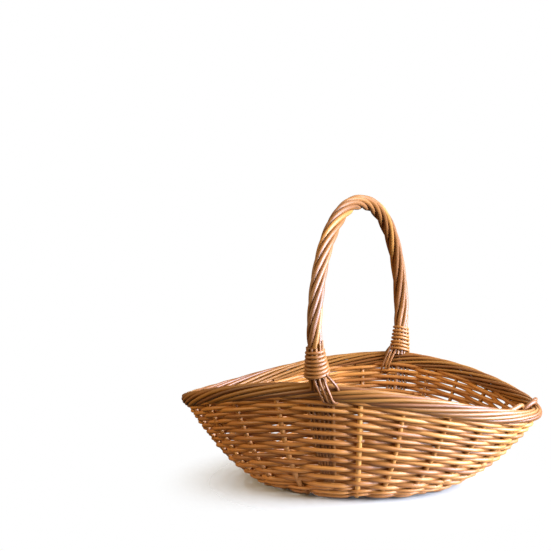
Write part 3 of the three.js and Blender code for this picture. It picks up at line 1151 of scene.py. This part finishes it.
# Each route runs from under the lapping, over the border and down to hook into the weave:
# how far along the border, how far up from its middle and how far out.
tailRoutes = {
    "front": (
        (0, 0.017, 0.007), (0.002, 0.0115, 0.0094), (0.0042, 0.0055, 0.0098), (0.006, 0, 0.0094),
        (0.0074, -0.0045, 0.0086), (0.0095, -0.0075, 0.006), (0.0125, -0.009, 0.0005),
    ),
    "stub": (
        (0.0085, 0.0215, 0.0045), (0.0125, 0.0185, 0.0065), (0.0165, 0.0145, 0.0070),
        (0.0195, 0.0100, 0.0060), (0.0210, 0.0050, 0.0040),
    ),
    "rear": (
        (0, 0.017, -0.006), (0.0025, 0.011, -0.0086), (0.006, 0.003, -0.0092), (0.010, -0.006, -0.0084),
        (0.013, -0.0125, -0.006), (0.015, -0.017, -0.002), (0.016, -0.019, 0.002),
    ),
}
stakeSpacing = 0.0445

def borderRoute(u, route, radius, beside=0.0):
    rimLength = stakeSpacing * bowl["stakes"]
    points = [wallPoint(u + (along + beside) / rimLength, 1.0, out, lift) for along, lift, out in route]
    return [(point, radius) for point in points]

def makeTails():
    for end, u in (("front", 0.25), ("rear", 0.75)):
        lines = []
        for i in range(tails["count"]):
            beside = (i - 0.3) * tails["spacing"]
            lines.append(borderRoute(u, tailRoutes[end], tails["radius"], beside))
        lines.append(borderRoute(u, tailRoutes["stub"], tails["radius"]))
        nodes = [f"handle_tail_{end}_{i}" for i in range(1, 4)]
        guide = guideCurve(f"tailGuide_{end}", lines)
        madeBy(f"tails_{end}", makeLooseTree(looseRods), looseRods, nodes, guide)

makeTails()

# The last rods of the border are bent down inside the pointed ends, and some cut ends stand proud.

cornerRods = {
    "radius": 0.0023,
    "route": (
        (-0.052, -0.001, -0.0020), (-0.034, 0.0045, -0.0050), (-0.018, 0.008, -0.0085),
        (-0.006, 0.003, -0.0105), (-0.001, -0.006, -0.0105), (0.0005, -0.015, -0.007),
        (0.001, -0.023, -0.003),
    ),
    # how far along the border, how far up, and which way round each rod comes
    "rods": ((-0.004, 0.0045, -1), (-0.014, 0.0030, -1), (-0.022, 0.0015, 1)),
}

def makeCornerRods():
    lines = []
    for beside, raised, side in cornerRods["rods"]:
        route = [(side * along, lift + raised, out) for along, lift, out in cornerRods["route"]]
        lines.append(borderRoute(0.5, route, cornerRods["radius"], beside))
    guide = guideCurve("cornerGuide", lines)
    sizes = dict(looseRods, material=willow["border_willow"], seed=75, steps=30)
    madeBy("cornerRods", makeLooseTree(sizes), sizes, [], guide)

makeCornerRods()

# Base

baseSpokes = 12
baseLevel = 0.0045

def makeBaseGuide(around=144, up=20):
    u = np.linspace(0, 1, around + 1)
    shares = np.linspace(0, 1, up + 1) * shareSpan - shareStart
    rows = []
    for place in u:
        edge = wallRow(place, [0.0])[0]
        # The rings nearest the middle are kept a little apart, so that no face is empty.
        parts = np.maximum(shares, 0.01 * (shares + 0.3))
        rows.append([(edge[0] * part, edge[1] * part, baseLevel) for part in parts])
    return surfaceObject("baseGuide", np.array(rows), u * baseSpokes)

baseGuide = makeBaseGuide()

baseWeave = dict(
    sideWeave,
    surface=baseGuide,
    rows=28,
    steps=160,
    startShift=1.0,
    overlap=0.0,
    low=0.17,
    high=0.985,
    bow=0.0,
    pairPull=0.0,
    level=0.0,
    unevenRows=0.004,
    rowShift=1.0,
    period=2.0,
    depth=0.0013,
    unevenDepth=0.0003,
    tuck=0.0,
    lift=0.0006,
    butt=0.0017,
    tip=0.0015,
    paintedShadeAndDirt=0.2,
    sides=7,
    seed=81,
    material=willow["base_willow"],
)

def makeBase():
    madeBy("baseWeave", makeWeaveTree(baseWeave), baseWeave, ["base_weave"])
    spokes = dict(sideStakes, surface=baseGuide, rods=baseSpokes, spacing=1 / baseSpokes, steps=12)
    spokes.update(low=0.0, high=0.97, firstGap=noGap, nextGap=noGap, lean=0.001, waver=0.0002)
    spokes.update(foot=0.0022, tip=0.0018, seed=85, material=willow["base_willow"])
    nodes = [f"base_stick_{i}" for i in range(1, 7)]
    madeBy("baseSticks", makeUprightTree(spokes), spokes, nodes)

makeBase()
